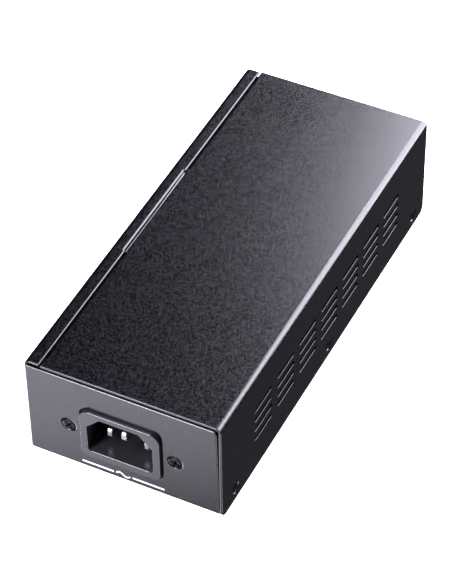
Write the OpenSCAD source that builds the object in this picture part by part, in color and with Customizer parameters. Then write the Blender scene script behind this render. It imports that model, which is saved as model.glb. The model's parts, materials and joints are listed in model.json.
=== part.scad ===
// Mains-powered power-over-Ethernet injector in a two-part folded steel case.
// +Z is up, the mains inlet faces -Y, the two network sockets face +Y and the
// screwed side of the cover faces +X. The origin is the centre of the
// footprint, at the level that the rubber feet stand on. Millimetres.

/* [Case] */
// Width of the case, across the two long walls
case_w = 73; // [72:0.5:78]
// Length of the case, from end panel to end panel
case_l = 168; // [166:1:176]
// Height of the steel case, without its feet
case_h = 43; // [42:0.5:48]
// Thickness of the steel sheet
sheet_t = 1; // [0.8:0.1:1]
// Outside radius of every fold
bend_r = 2; // [1.5:0.1:2.5]
// Height of the end panels, short of the cover
panel_h = 40.6; // [39:0.2:41]
// Gap between the chassis and the cover's screwed wall
wall_gap = 0.4; // [0.4:0.1:0.8]
// Overhang of the cover past each end panel
cover_lip = 0.2; // [0:0.1:0.4]
// Radius of the cover wall's lower corners
wall_corner_r = 2.5; // [1:0.5:3]
// How far an end panel's right edge leans in at its top, so that the cover slides on
panel_lean = 0.5; // [0:0.1:0.8]
// Height of the chassis flange that takes the cover screws
flange_h = 11; // [10:0.5:14]

/* [Top seam] */
// Width of the chassis strip along the top left edge
strip_w = 5.6; // [5:0.2:7]
// Gap between the strip and the cover's cut edge
seam_gap = 0.6; // [0.4:0.1:1]
// Length of the tongue in the middle of the strip
tongue_l = 45.5; // [30:0.5:60]
// Clearance between layers where one sheet passes under the other
lap_gap = 0.3; // [0.2:0.05:0.4]
// Horizontal run of each joggle
joggle_run = 0.7; // [0.5:0.1:1]
// How far the tongue reaches under the cover
tongue_reach = 6; // [4:0.5:8]

/* [Side vents] */
// Groups of slots along each long wall
vent_groups = 7; // [3:1:8]
// Slots above each other in a group
vent_rows = 4; // [2:1:5]
// Length of a slot
vent_len = 13.5; // [10:0.5:14]
// Height of a slot
vent_h = 1.9; // [1:0.1:2.2]
// Distance from group to group
vent_pitch_y = 17.6; // [16:0.2:18]
// Distance from row to row
vent_pitch_z = 4.5; // [4:0.1:5]
// Height of the middle of the slot field
vent_mid_z = 21.2; // [20:0.2:24]

/* [Screws and feet] */
// Distance between the three cover screws
cover_screw_pitch = 74.3; // [60:0.5:76]
// Height of the cover screws
cover_screw_z = 5.4; // [5:0.2:6]
// Head radius of a cover screw
cover_head_r = 2.6; // [2.4:0.1:2.8]
// Head radius of an inlet screw
inlet_head_r = 2.8; // [2.6:0.1:3]
// Shank radius of the countersunk screws
shank_r = 1.45; // [1.2:0.05:1.5]
// Thickness of a rubber foot
foot_h = 1.5; // [1:0.1:3]
// Radius of a rubber foot
foot_r = 4.5; // [3:0.5:6]

/* [Mains inlet] */
// Centre of the inlet, from the case's middle plane
inlet_x = -1; // [-4:0.5:4]
// Height of the inlet's screw line
inlet_z = 18.6; // [17:0.2:21]
// Distance between the two inlet screws
inlet_screw_pitch = 40; // [39.6:0.1:40.4]
// How far the bezel stands out of the panel
bezel_out = 1.4; // [1:0.1:2.5]
// Depth of the plug cavity
cavity_depth = 19; // [17:0.5:20]
// Distance between neighbouring contact blades
blade_pitch = 7; // [6.8:0.1:7.2]

/* [Network sockets] */
// Place of the data-in socket
lan_jack_x = 12; // [10:0.5:14]
// Place of the powered output socket
poe_jack_x = -10; // [-14:0.5:-8]
// Outside width of a shielded socket
jack_w = 16.2; // [15.5:0.1:17]
// Outside height of a shielded socket
jack_h = 13.6; // [13:0.1:14.5]
// Depth of a shielded socket
jack_d = 21; // [19:0.5:22]
// Place of the two indicator lights
led_x = 26; // [25:0.5:27]

/* [Circuit board] */
// Height of the standoffs under the board
standoff_h = 5; // [4.8:0.1:6]
// Thickness of the board
pcb_t = 1.6; // [1.2:0.2:2]
// Radius of the bulk capacitor
bulk_cap_r = 9; // [8:0.5:9.5]
// Height of the bulk capacitor
bulk_cap_h = 31; // [25:1:32]

/* [Hidden] */
$fn = 48;
past = 1;               // how far a cut runs past the face that it opens

// Steel case
half_w = case_w / 2;
half_l = case_l / 2;
inner_r = bend_r - sheet_t;
strip_edge_x = -half_w + strip_w;
cover_edge_x = strip_edge_x + seam_gap;
lap_drop = sheet_t + lap_gap;
flange_x = half_w - sheet_t - wall_gap;
wall_in_x = -half_w + sheet_t;
cover_half_l = half_l + cover_lip;
relief = 1.5;           // notch between the cover's tabs and the tongue
tab_end_gap = 4;        // how far the tabs stay back from the ends
tab_reach = 4;          // how far the tabs reach under the strip
tab_x = cover_edge_x + joggle_run;
tab_y = [tongue_l / 2 + relief, half_l - tab_end_gap];
panel_corner_r = 1;
foot_spots = [for (x = [-28, 28], y = [-72, 72]) [x, y]];

// Screws
cover_screws_y = [-1, 0, 1] * cover_screw_pitch;
cover_screw_len = 4.5;
flange_hole_r = shank_r + 0.35;
inlet_screws_x = [-0.5, 0.5] * inlet_screw_pitch;
inlet_screw_len = 8;
slot_w = 0.6;           // width of a cross recess
slot_depth = 0.8;
pan_r = 2.7;            // pan head of the screws inside the case
pan_h = 1.8;

// Circuit board
pcb_z = sheet_t + standoff_h;
top = pcb_z + pcb_t;    // component side of the board
pcb_low = [wall_in_x + 1.5, -42];
pcb_high = [30.5, half_l - 2];
pcb_holes = [for (x = [pcb_low.x + 3.5, pcb_high.x - 3.5], y = [pcb_low.y + 3.5, 60]) [x, y]];
standoff_r = 2.8;
spigot_r = 2.1;
board_screw_r = 1.4;
film_t = 0.4;           // insulation sheet under the board
film_margin = [-0.5, -1];

// Inlet, in its own frame: x across, y into the case, z up from the screw line
bezel_low = [-14.9, -10.4];
bezel_high = [14.9, 11.1];
bezel_r = [2.5, 3.5];   // lower and upper corners
cutout_gap = 0.4;
ear_t = 2.2;
ear_r = 5.5;
ear_plate = [[-17, -12], [17, 12.6]];
inlet_body = [[-14.2, -9.3], [14.2, 10.8]];
inlet_body_d = cavity_depth - bezel_out + 3.4;
cavity_half = 12.3;
cavity_low = -7.4;
cavity_high = 9;
cavity_chamfer = 5.2;
cavity_low_r = 1.6;
inlet_nut_r = 3.15;
inlet_nut_t = 2.4;
blade_w = 2;
blade_h = 4;
blade_chamfer = 0.8;
line_blade_z = -2.7;
earth_blade_z = 1.4;
line_tip_y = 4.5;
earth_tip_y = 1.7;
tab_t = 0.8;            // push-on tab behind a blade
tab_h = 6.3;
tab_len = 8;

// Leads
wire_r = 1.2;
lead_turn_r = 5;
sleeve_y = [inlet_body_d + 1.5, inlet_body_d + 12];
sleeve_half = [1.4, 3.9];
earth_stud_x = 22;
earth_stud_y = -60;
stud_head_r = 3;
stud_r = 2;
stud_h = 8;
ring_t = 0.8;
ring_r = 4.2;
barrel_r = 1.6;
earth_nut_r = 4.04;     // across the corners
earth_nut_t = 3.2;

// Network sockets and indicator lights
jack_wall = 0.4;
jack_y0 = half_l - jack_d;
jack_cutout_gap = 0.3;
plug_w = 11.9;
plug_h = 6.9;
plug_d = 14;
plug_z = top + 4.6;     // underside of the plug's body in the socket
latch_steps = [[3.2, 1.7], [1.9, 2.9]];     // half width and depth of the latch's slot
contact_pitch = 1.02;
contact_slope = 13;
contact_low = [-0.2, -10.3, -0.35];
contact_high = [0.2, 0, 0];
led_r = 1.5;
led_gap = 0.15;
led_z = [top + 3.5, top + 10];
led_holder_half = 2.6;
led_holder_y = [half_l - 9, half_l - 3];
led_holder_h = 13;

// Parts on the board: middle of each, then width, depth and height
ac_connector_at = [inlet_x, -38];
ac_connector_size = [22, 7, 4.4];
line_lead_r = inlet_z + line_blade_z - top - ac_connector_size.z;
fuse_at = [-28, -23];
fuse_l = 20;
fuse_cap_r = 2.75;
fuse_cap_l = 5.5;
fuse_glass_r = 2.6;
fuse_z = top + 4.6;
clip_size = [7.2, 4.5];
clip_mouth = 4.4;
clip_rise = 1.2;        // how far the clips reach above the fuse's axis
disc_leg_r = 0.4;
x_capacitor_at = [-11, -26.5];
x_capacitor_size = [18, 9, 16];
choke_at = [12, -21];
choke_z = top + 12.8;
choke_ring = [10, 5.5, 8];              // outside, inside, thickness
choke_wire = 1;
choke_turns = 9;                        // on each half of the ring
choke_turn_angle = 17;
choke_base_size = [22, 11, 1];
bridge_at = [-12.5, -15.5];
bridge_size = [15, 4, 11];
bridge_lift = 3;
bridge_leg_pitch = 3.8;
bridge_leg_r = 0.45;
bulk_cap_at = [-23, -2];

// Aluminium heat sinks: plate x, y from, y to, height
primary_sink = [24, -4, 34, 28];
secondary_sink = [-32.5, 30, 54, 24];
heatsink_t = 2.5;
fin_reach = 2.4;
fin_t = 1.2;
fin_pitch = 5;
transistor_y = 9;
rectifier_y = 41;
package_size = [4.5, 10, 9];            // moulded body, plate to face
package_z = top + 5;
tab_z = package_z + package_size.z;
tab_plate_t = 1.3;
tab_rise = 6.5;
tab_hole_r = 1.6;
tab_hole_z = tab_z + 3.5;
leg_pitch = 2.54;
sink_screw_r = 1.45;
sink_screw_len = 3.2;

// Transformer
core_at = [3, 14];
core_size = [30, 12, 28];
core_leg = 9;
core_side = 4.5;
core_yoke = 5;
core_window = (core_size.x - 2 * core_side - core_leg) / 2;
core_z = top + 1;
bobbin_t = 1.2;
bobbin_d = 22;
bobbin_foot = 4;
bobbin_half = core_size.x / 2 - core_side - 0.3;
winding_half = [bobbin_half - 0.5, bobbin_d / 2 - 0.6];
winding_r = 4;

// Output filter
output_caps = [for (x = [-17, -5.5, 6]) [x, 38]];
output_cap_r = 5;
output_cap_h = 20;
output_choke_at = [21, 46];
output_choke_z = top + 6;
output_choke_ring = [6.5, 3.6, 6];
output_choke_wire = 0.9;
output_choke_turns = 12;

// Chips: middle, body size, legs a side and their pitch
optocoupler_chip = [[-25, 24], [6.4, 4.6, 3.6], 2, 2.54];
pwm_chip = [[-25, 14], [6.4, 9.6, 3.6], 4, 2.54];
pse_chip = [[-16, 53], [9, 9, 1.6], 8, 1];
magnetics_chip = [[3, 52], [13, 17, 6.4], 12, 1.27];
chip_lift = 0.6;
chip_leg = [1, 0.5, 1.2];

// ---- shapes -------------------------------------------------------------

// Everything inside the case is drawn from the case's underside
module in_case() { translate([0, 0, foot_h]) children(); }

module at_inlet() { in_case() translate([inlet_x, -half_l, inlet_z]) children(); }

// A box between two corners
module block(low, high) { translate(low) cube(high - low); }

// A box that stands on the board, lifted off it by some height
module board_box(spot, size, lift = 0) {
    translate([spot.x - size.x / 2, spot.y - size.y / 2, top + lift]) cube(size);
}

// Extrude an X-Z outline along Y, or a Y-Z outline along X
module along_y(y0, y1) {
    translate([0, y1, 0]) rotate([90, 0, 0]) linear_extrude(y1 - y0) children();
}

module along_x(x0, x1) {
    translate([x0, 0, 0]) rotate([90, 0, 90]) linear_extrude(x1 - x0) children();
}

module rod_x(x0, x1, r) { along_x(x0, x1) circle(r); }

module rod_y(y0, y1, r) { along_y(y0, y1) circle(r); }

module rod_z(z0, z1, r) { translate([0, 0, z0]) cylinder(h = z1 - z0, r = r); }

// A rectangle with its lower corners of one radius and its upper of another
module round_rect(low, high, low_r, high_r) {
    size = high - low;
    translate([low.x + low_r, low.y]) square([size.x - 2 * low_r, low_r]);
    translate([low.x + high_r, high.y - high_r]) square([size.x - 2 * high_r, high_r]);
    translate([low.x, low.y + low_r]) square([size.x, size.y - low_r - high_r]);
    for (x = [low.x + low_r, high.x - low_r]) translate([x, low.y + low_r]) circle(low_r);
    for (x = [low.x + high_r, high.x - high_r]) translate([x, high.y - high_r]) circle(high_r);
}

// What a rounded corner loses; the corner itself is at the origin, up and right
module corner_waste(r) {
    difference() {
        translate([-r, -r]) square(r + past);
        translate([-r, -r]) circle(r);
    }
}

// A sheet that drops by lap_drop to run under its neighbour, drawn to the right
module joggle(flat, reach) {
    slant = atan(lap_drop / joggle_run);
    inset = sheet_t * tan(slant / 2);
    low = case_h - lap_drop;
    polygon([[-flat, case_h], [0, case_h], [joggle_run, low], [reach, low],
        [reach, low - sheet_t], [joggle_run - inset, low - sheet_t],
        [-inset, case_h - sheet_t], [-flat, case_h - sheet_t]]);
}

// A countersunk screw along +Y, with its head at y = 0, and the hole it needs
module countersunk_screw(head_r, length) {
    cone = head_r - shank_r;
    difference() {
        union() {
            rotate([-90, 0, 0]) cylinder(h = cone, r1 = head_r, r2 = shank_r);
            rod_y(cone, length, shank_r);
        }
        for (turn = [0, 90]) rotate([0, turn, 0])
            block([-0.55 * head_r, -past, -slot_w / 2], [0.55 * head_r, slot_depth, slot_w / 2]);
    }
}

module countersink(head_r, through) {
    play = 0.05;
    rotate([-90, 0, 0]) cylinder(h = head_r + play - shank_r, r1 = head_r + 2 * play, r2 = shank_r + play);
    rod_y(-0.01, through, shank_r + play);
}

// A pan-head screw whose head stands on z = 0
module pan_screw(r, length) {
    difference() {
        union() {
            rod_z(0, pan_h, pan_r);
            rod_z(-length, 0, r);
        }
        for (turn = [0, 90]) rotate([0, 0, turn])
            block([-0.6 * pan_r, -slot_w / 2, pan_h - slot_depth], [0.6 * pan_r, slot_w / 2, pan_h + past]);
    }
}

// ---- steel case ---------------------------------------------------------

// Bottom, left wall, top strip and the screw flange, as one folded outline
module chassis_section() {
    difference() {
        round_rect([-half_w, 0], [case_w, case_h], bend_r, bend_r);
        round_rect([wall_in_x, sheet_t], [2 * case_w, case_h - sheet_t], inner_r, inner_r);
        translate([strip_edge_x, case_h / 2]) square([2 * case_w, case_h]);
        translate([flange_x - bend_r, -past]) square([2 * case_w, case_h + 2 * past]);
    }
    difference() {
        translate([flange_x - bend_r, 0]) square([bend_r, flange_h]);
        translate([flange_x, 0]) mirror([0, 1]) corner_waste(bend_r);
        translate([flange_x - bend_r - past, bend_r]) square([past + inner_r, flange_h]);
        translate([flange_x - bend_r, bend_r]) circle(inner_r);
    }
}

// Its lower right corner is nearly square, and its right edge leans away from the cover
module end_panel_section() {
    difference() {
        union() {
            round_rect([-half_w, 0], [flange_x, panel_h + bend_r], bend_r, 0.1);
            translate([flange_x - bend_r, 0]) square(bend_r);
        }
        translate([-case_w, panel_h]) square([2 * case_w, case_h]);
        polygon([[flange_x, flange_h], [flange_x - panel_lean, panel_h + past],
            [case_w, panel_h + past], [case_w, flange_h]]);
        translate([flange_x - panel_lean, panel_h]) corner_waste(panel_corner_r);
    }
}

// Rows of round-ended slots through a wall that stands between x0 and x1
module vent_slots(x0, x1) {
    half = vent_len / 2 - vent_h / 2;
    along_x(x0, x1)
        for (group = [0 : vent_groups - 1], row = [0 : vent_rows - 1])
            translate([(group - (vent_groups - 1) / 2) * vent_pitch_y,
                       vent_mid_z + (row - (vent_rows - 1) / 2) * vent_pitch_z]) {
                square([2 * half, vent_h], center = true);
                for (end = [-half, half]) translate([end, 0]) circle(vent_h / 2);
            }
}

module at_cover_screws() {
    in_case() for (y = cover_screws_y) translate([half_w, y, cover_screw_z]) rotate([0, 0, 90]) children();
}

// The strip's edge is straight near the ends and steps down in the middle
module strip_edge() {
    root = strip_edge_x - joggle_run;
    for (end = [0, 1]) mirror([0, end, 0])
        along_y(tongue_l / 2, half_l)
            translate([root - past, case_h - sheet_t]) square([joggle_run + past, sheet_t]);
    along_y(-tongue_l / 2, tongue_l / 2) translate([root, 0]) joggle(past, tongue_reach);
}

module chassis_sheet() {
    along_y(-half_l, half_l) difference() {
        chassis_section();
        translate([strip_edge_x - joggle_run, case_h - bend_r]) square([strip_w, 2 * bend_r]);
    }
    strip_edge();
    along_y(-half_l, -half_l + sheet_t) end_panel_section();
    along_y(half_l - sheet_t, half_l) end_panel_section();
}

// Openings in the bottom, the walls and the rear panel
module chassis_openings() {
    rear = [half_l - sheet_t - past, half_l + past];
    vent_slots(-half_w - past, wall_in_x + past);
    for (x = [lan_jack_x, poe_jack_x])
        block([x - jack_w / 2 - jack_cutout_gap, rear[0], top - 0.2],
              [x + jack_w / 2 + jack_cutout_gap, rear[1], top + jack_h + jack_cutout_gap]);
    for (z = led_z) translate([led_x, 0, z]) rod_y(rear[0], rear[1], led_r + led_gap);
    for (hole = pcb_holes) translate(hole) rod_z(-past, sheet_t + past, spigot_r);
    translate([earth_stud_x, earth_stud_y]) rod_z(-past, sheet_t + past, stud_head_r);
    for (y = cover_screws_y)
        translate([0, y, cover_screw_z]) rod_x(flange_x - sheet_t - past, flange_x + past, flange_hole_r);
}

module chassis() {
    gap = [cutout_gap, cutout_gap];
    color([0.10, 0.10, 0.11]) difference() {
        in_case() difference() {
            chassis_sheet();
            // folds between the bottom and the end panels
            for (end = [0, 1]) mirror([0, end, 0])
                along_x(-case_w, case_w) translate([half_l, 0]) mirror([0, 1]) corner_waste(bend_r);
            chassis_openings();
        }
        at_inlet() {
            along_y(-past, sheet_t + past)
                round_rect(bezel_low - gap, bezel_high + gap,
                           bezel_r[0] + cutout_gap, bezel_r[1] + cutout_gap);
            for (x = inlet_screws_x) translate([x, 0, 0]) countersink(inlet_head_r, sheet_t + past);
        }
    }
}

module cover_section() {
    difference() {
        round_rect([-case_w, 0], [half_w, case_h], 0.1, bend_r);
        round_rect([-2 * case_w, -past], [half_w - sheet_t, case_h - sheet_t], 0.1, inner_r);
        translate([-2 * case_w, -past]) square([2 * case_w + cover_edge_x, 2 * case_h]);
    }
}

// The top's edge steps down at two tabs that run under the chassis strip
module cover_sheet() {
    difference() {
        along_y(-cover_half_l, cover_half_l) cover_section();
        for (end = [0, 1]) mirror([0, end, 0])
            along_y(tab_y[0], tab_y[1])
                translate([cover_edge_x - past, case_h - bend_r])
                    square([tab_x + past - cover_edge_x, 2 * bend_r]);
    }
    for (end = [0, 1]) mirror([0, end, 0])
        along_y(tab_y[0], tab_y[1])
            translate([tab_x, 0]) mirror([1, 0]) joggle(past, joggle_run + seam_gap + tab_reach);
}

module cover() {
    color([0.10, 0.10, 0.11]) difference() {
        in_case() difference() {
            cover_sheet();
            for (end = [0, 1]) mirror([0, end, 0])
                along_x(half_w - bend_r, half_w + past)
                    translate([cover_half_l, 0]) mirror([0, 1]) corner_waste(wall_corner_r);
            vent_slots(half_w - sheet_t - past, half_w + past);
        }
        at_cover_screws() countersink(cover_head_r, sheet_t + past);
    }
}

module cover_screws() {
    color([0.12, 0.12, 0.13]) at_cover_screws() countersunk_screw(cover_head_r, cover_screw_len);
}

module rubber_feet() {
    color([0.05, 0.05, 0.05]) for (spot = foot_spots) translate(spot) rod_z(0, foot_h, foot_r);
}

// ---- mains inlet --------------------------------------------------------

module cavity_section() {
    flank = cavity_half - cavity_chamfer;
    shoulder = cavity_high - cavity_chamfer;
    intersection() {
        polygon([[-cavity_half, cavity_low], [cavity_half, cavity_low], [cavity_half, shoulder],
            [flank, cavity_high], [-flank, cavity_high], [-cavity_half, shoulder]]);
        round_rect([-cavity_half, cavity_low], [cavity_half, cavity_high + past], cavity_low_r, 0.1);
    }
}

// The housing's bezel goes out through the panel; its ears stay behind it
module inlet_housing() {
    color([0.06, 0.06, 0.065]) at_inlet() difference() {
        union() {
            along_y(-bezel_out, sheet_t + 0.5) round_rect(bezel_low, bezel_high, bezel_r[0], bezel_r[1]);
            along_y(sheet_t, sheet_t + ear_t) {
                round_rect(ear_plate[0], ear_plate[1], 2, 2);
                square([inlet_screw_pitch, 2 * ear_r], center = true);
                for (x = inlet_screws_x) translate([x, 0]) circle(ear_r);
            }
            along_y(sheet_t, inlet_body_d) round_rect(inlet_body[0], inlet_body[1], 1.5, 4.5);
        }
        along_y(-bezel_out - past, cavity_depth - bezel_out) cavity_section();
        for (spot = [[-blade_pitch, line_blade_z], [0, earth_blade_z], [blade_pitch, line_blade_z]])
            along_y(0, inlet_body_d + past) translate(spot) square([blade_w, blade_h], center = true);
        for (x = inlet_screws_x) translate([x, 0, 0]) countersink(inlet_head_r, inlet_screw_len);
    }
}

module inlet_screws() {
    color([0.03, 0.03, 0.03]) at_inlet()
        for (x = inlet_screws_x) translate([x, 0, 0]) countersunk_screw(inlet_head_r, inlet_screw_len);
}

module inlet_nuts() {
    behind_ear = sheet_t + ear_t;
    color("silver") at_inlet() for (x = inlet_screws_x) translate([x, 0, 0])
        along_y(behind_ear, behind_ear + inlet_nut_t) difference() {
            circle(r = inlet_nut_r, $fn = 6);
            circle(shank_r + 0.05);
        }
}

// A contact blade with a chamfered tip and a thin push-on tab behind the housing
module blade(x, z, tip_y) {
    half = blade_h / 2;
    color([0.8, 0.8, 0.82]) at_inlet() translate([x, 0, z]) {
        along_x(-blade_w / 2, blade_w / 2)
            polygon([[tip_y, -half + blade_chamfer], [tip_y + blade_chamfer, -half], [inlet_body_d, -half],
                [inlet_body_d, half], [tip_y + blade_chamfer, half], [tip_y, half - blade_chamfer]]);
        block([-tab_t / 2, inlet_body_d, -tab_h / 2], [tab_t / 2, inlet_body_d + tab_len, tab_h / 2]);
    }
}

module live_blade() { blade(-blade_pitch, line_blade_z, line_tip_y); }

module neutral_blade() { blade(blade_pitch, line_blade_z, line_tip_y); }

module earth_blade() { blade(0, earth_blade_z, earth_tip_y); }

// The insulated sleeve of a lead, pushed over a blade's tab
module sleeve() {
    difference() {
        block([-sleeve_half.x, sleeve_y[0], -sleeve_half.y], [sleeve_half.x, sleeve_y[1], sleeve_half.y]);
        block([-tab_t / 2, 0, -tab_h / 2], [tab_t / 2, inlet_body_d + tab_len, tab_h / 2]);
    }
}

// A quarter turn of wire about +Z, from +X to +Y
module wire_quarter(r) { rotate_extrude(angle = 90) translate([r, 0]) circle(wire_r); }

// Straight back from the blade, then down into the connector on the board
module line_lead(x) {
    turn_y = ac_connector_at.y + half_l - line_lead_r;
    at_inlet() translate([x, 0, line_blade_z]) {
        sleeve();
        rod_y(sleeve_y[1], turn_y, wire_r);
        translate([0, turn_y, -line_lead_r]) rotate([90, 0, 90]) wire_quarter(line_lead_r);
    }
}

module live_lead() { color("saddlebrown") line_lead(-blade_pitch); }

module neutral_lead() { color("royalblue") line_lead(blade_pitch); }

// Out of the sleeve, across to the right, down and forward to a ring on the floor
module earth_lead() {
    r = lead_turn_r;
    across_y = sleeve_y[1] + r;
    drop_x = earth_stud_x - inlet_x;
    floor_z = sheet_t - inlet_z - earth_blade_z;
    barrel_z = floor_z + barrel_r;
    stud_y = earth_stud_y + half_l;
    color("yellowgreen") difference() {
        at_inlet() translate([0, 0, earth_blade_z]) {
            sleeve();
            translate([r, sleeve_y[1], 0]) rotate([0, 0, 90]) wire_quarter(r);
            translate([0, across_y, 0]) rod_x(r, drop_x - r, wire_r);
            translate([drop_x - r, across_y, -r]) rotate([90, 0, 0]) wire_quarter(r);
            translate([drop_x, across_y, 0]) rod_z(barrel_z + r, -r, wire_r);
            translate([drop_x, across_y - r, barrel_z + r]) rotate([0, 90, 0]) wire_quarter(r);
            translate([drop_x, 0, barrel_z]) rod_y(stud_y + earth_nut_r, across_y - r, barrel_r);
            translate([drop_x, stud_y, floor_z]) rod_z(0, ring_t, ring_r);
            translate([drop_x - barrel_r, stud_y, floor_z]) cube([2 * barrel_r, ring_r + barrel_r, ring_t]);
        }
        in_case() translate([earth_stud_x, earth_stud_y, 0]) rod_z(0, stud_h, stud_r + 0.15);
    }
}

module earth_stud() {
    color("silver") in_case() translate([earth_stud_x, earth_stud_y, 0]) {
        rod_z(0, sheet_t, stud_head_r);
        rod_z(0, stud_h, stud_r);
    }
}

module earth_nut() {
    color("goldenrod") in_case() translate([earth_stud_x, earth_stud_y, sheet_t + ring_t])
        difference() {
            cylinder(h = earth_nut_t, r = earth_nut_r, $fn = 6);
            rod_z(-past, earth_nut_t + past, stud_r);
        }
}

// ---- board and network sockets ------------------------------------------

module insulation_sheet() {
    low = pcb_low + film_margin;
    high = pcb_high + film_margin;
    color([0.85, 0.85, 0.8]) in_case() difference() {
        block([low.x, low.y, sheet_t], [high.x - past, high.y, sheet_t + film_t]);
        for (hole = pcb_holes) translate(hole) rod_z(0, sheet_t + film_t + past, standoff_r + 0.4);
    }
}

module pcb_standoffs() {
    color("silver") in_case() for (hole = pcb_holes) translate(hole) difference() {
        union() {
            rod_z(0, sheet_t, spigot_r);
            rod_z(sheet_t, pcb_z, standoff_r);
        }
        rod_z(2 * sheet_t, pcb_z + past, board_screw_r);
    }
}

module main_pcb() {
    color([0.05, 0.3, 0.15]) in_case() difference() {
        block([pcb_low.x, pcb_low.y, pcb_z], [pcb_high.x, pcb_high.y, top]);
        for (hole = pcb_holes) translate(hole) rod_z(pcb_z - past, top + past, board_screw_r + 0.1);
    }
}

module pcb_screws() {
    color("silver") in_case()
        for (hole = pcb_holes) translate([hole.x, hole.y, top]) pan_screw(board_screw_r, 5);
}

// A plated box that is open at the socket's mouth and towards the board
module jack_shield(x) {
    half = jack_w / 2;
    color([0.75, 0.75, 0.77]) in_case() translate([x, 0, top]) difference() {
        block([-half, jack_y0, 0], [half, half_l, jack_h]);
        block([-half + jack_wall, jack_y0 + jack_wall, -past],
              [half - jack_wall, half_l + past, jack_h - jack_wall]);
    }
}

// The moulding in the shield, with the plug's space and the slot for its latch
module jack_insert(x) {
    half = jack_w / 2 - jack_wall;
    color([0.08, 0.08, 0.08]) in_case() translate([x, 0, 0]) difference() {
        block([-half, jack_y0 + jack_wall, top], [half, half_l - jack_wall, top + jack_h - jack_wall]);
        block([-plug_w / 2, half_l - plug_d, plug_z], [plug_w / 2, half_l + past, plug_z + plug_h]);
        for (step = latch_steps)
            block([-step[0], half_l - plug_d, plug_z - step[1]], [step[0], half_l + past, plug_z + past]);
    }
}

// Eight wires that slope down from the roof of the socket towards its back
module jack_contacts(x) {
    color("gold") in_case() for (i = [-3.5 : 3.5])
        translate([x + i * contact_pitch, half_l - 4.5, plug_z + plug_h + 0.3])
            rotate([contact_slope, 0, 0]) block(contact_low, contact_high);
}

module lan_jack_shield() { jack_shield(lan_jack_x); }

module lan_jack_insert() { jack_insert(lan_jack_x); }

module lan_jack_contacts() { jack_contacts(lan_jack_x); }

module poe_jack_shield() { jack_shield(poe_jack_x); }

module poe_jack_insert() { jack_insert(poe_jack_x); }

module poe_jack_contacts() { jack_contacts(poe_jack_x); }

// One block carries both indicator lights at right angles to the board
module led_holders() {
    color([0.1, 0.1, 0.1]) in_case() difference() {
        block([led_x - led_holder_half, led_holder_y[0], top],
              [led_x + led_holder_half, led_holder_y[1], top + led_holder_h]);
        for (z = led_z) translate([led_x, 0, z]) rod_y(led_holder_y[0] + 2, half_l, led_r + led_gap);
    }
}

// A round-nosed light whose nose stands just proud of the rear panel
module indicator(z) {
    nose_y = -0.2;
    in_case() translate([led_x, half_l, z]) {
        rod_y(-7, nose_y, led_r);
        translate([0, nose_y, 0]) difference() {
            sphere(led_r);
            block([-2, -2, -2] * led_r, [2 * led_r, 0, 2 * led_r]);
        }
    }
}

module power_led() { color("limegreen") indicator(led_z[0]); }

module poe_led() { color("orange") indicator(led_z[1]); }

// ---- power supply -------------------------------------------------------

module ac_connector() { color("white") in_case() board_box(ac_connector_at, ac_connector_size); }

module fuse() {
    cap_y = fuse_l / 2 - fuse_cap_l;
    color("ivory") in_case() translate([fuse_at.x, fuse_at.y, fuse_z]) {
        rod_y(-fuse_l / 2, fuse_l / 2, fuse_glass_r);
        for (end = [0, 1]) mirror([0, end, 0]) rod_y(cap_y, fuse_l / 2, fuse_cap_r);
    }
}

module fuse_clips() {
    y = fuse_l / 2 - fuse_cap_l / 2;
    rise = fuse_z + clip_rise - top;
    color("silver") in_case() for (side = [-y, y]) difference() {
        board_box(fuse_at + [0, side], [clip_size.x, clip_size.y, rise]);
        translate([fuse_at.x, fuse_at.y, fuse_z]) rod_y(-fuse_l, fuse_l, fuse_cap_r);
        board_box(fuse_at + [0, side], [clip_mouth, 2 * clip_size.y, rise + past], fuse_z - top);
    }
}

// A coated disc that stands on two wires
module disc_part(spot, r, t) {
    in_case() translate([spot.x, spot.y, top]) {
        translate([0, 0, r + 1.5]) rod_y(-t / 2, t / 2, r);
        for (x = [-0.6, 0.6] * r) translate([x, 0, 0]) rod_z(0, r, disc_leg_r);
    }
}

module varistor() { color("royalblue") disc_part([17, -36], 5.5, 4); }

module inrush_thermistor() { color("darkgreen") disc_part([20.5, -30.3], 4.5, 3.4); }

module y_capacitors() { color("dodgerblue") for (y = [-22, -12]) disc_part([27, y], 3, 3); }

module x_capacitor() { color("gold") in_case() board_box(x_capacitor_at, x_capacitor_size); }

module choke_base() { color([0.1, 0.1, 0.1]) in_case() board_box(choke_at, choke_base_size); }

// A ring core; size holds its outside radius, inside radius and thickness
module ring(size) {
    difference() {
        rod_z(-size[2] / 2, size[2] / 2, size[0]);
        rod_z(-size[2], size[2], size[1]);
    }
}

// One turn of wire round a ring core's section, at a given angle
module turn(angle, size, wire) {
    gap = 0.1;
    low = [size[1] - gap, -size[2] / 2 - gap];
    high = [size[0] + gap, size[2] / 2 + gap];
    around = [wire, wire];
    rotate([0, 0, angle]) along_y(-wire / 2, wire / 2) difference() {
        round_rect(low - around, high + around, wire, wire);
        translate(low) square(high - low);
    }
}

module at_choke() { in_case() translate([choke_at.x, choke_at.y, choke_z]) rotate([90, 0, 0]) children(); }

module choke_core() { color([0.2, 0.2, 0.22]) at_choke() ring(choke_ring); }

// Two windings, one on each half of the core
module choke_windings() {
    last = (choke_turns - 1) / 2;
    color("peru") at_choke() for (half = [0, 180], i = [-last : last])
        turn(half + i * choke_turn_angle, choke_ring, choke_wire);
}

module bridge_rectifier() {
    color([0.08, 0.08, 0.08]) in_case() {
        board_box(bridge_at, bridge_size, bridge_lift);
        for (i = [-1.5 : 1.5])
            translate([bridge_at.x + i * bridge_leg_pitch, bridge_at.y]) rod_z(top, top + 4, bridge_leg_r);
    }
}

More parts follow.
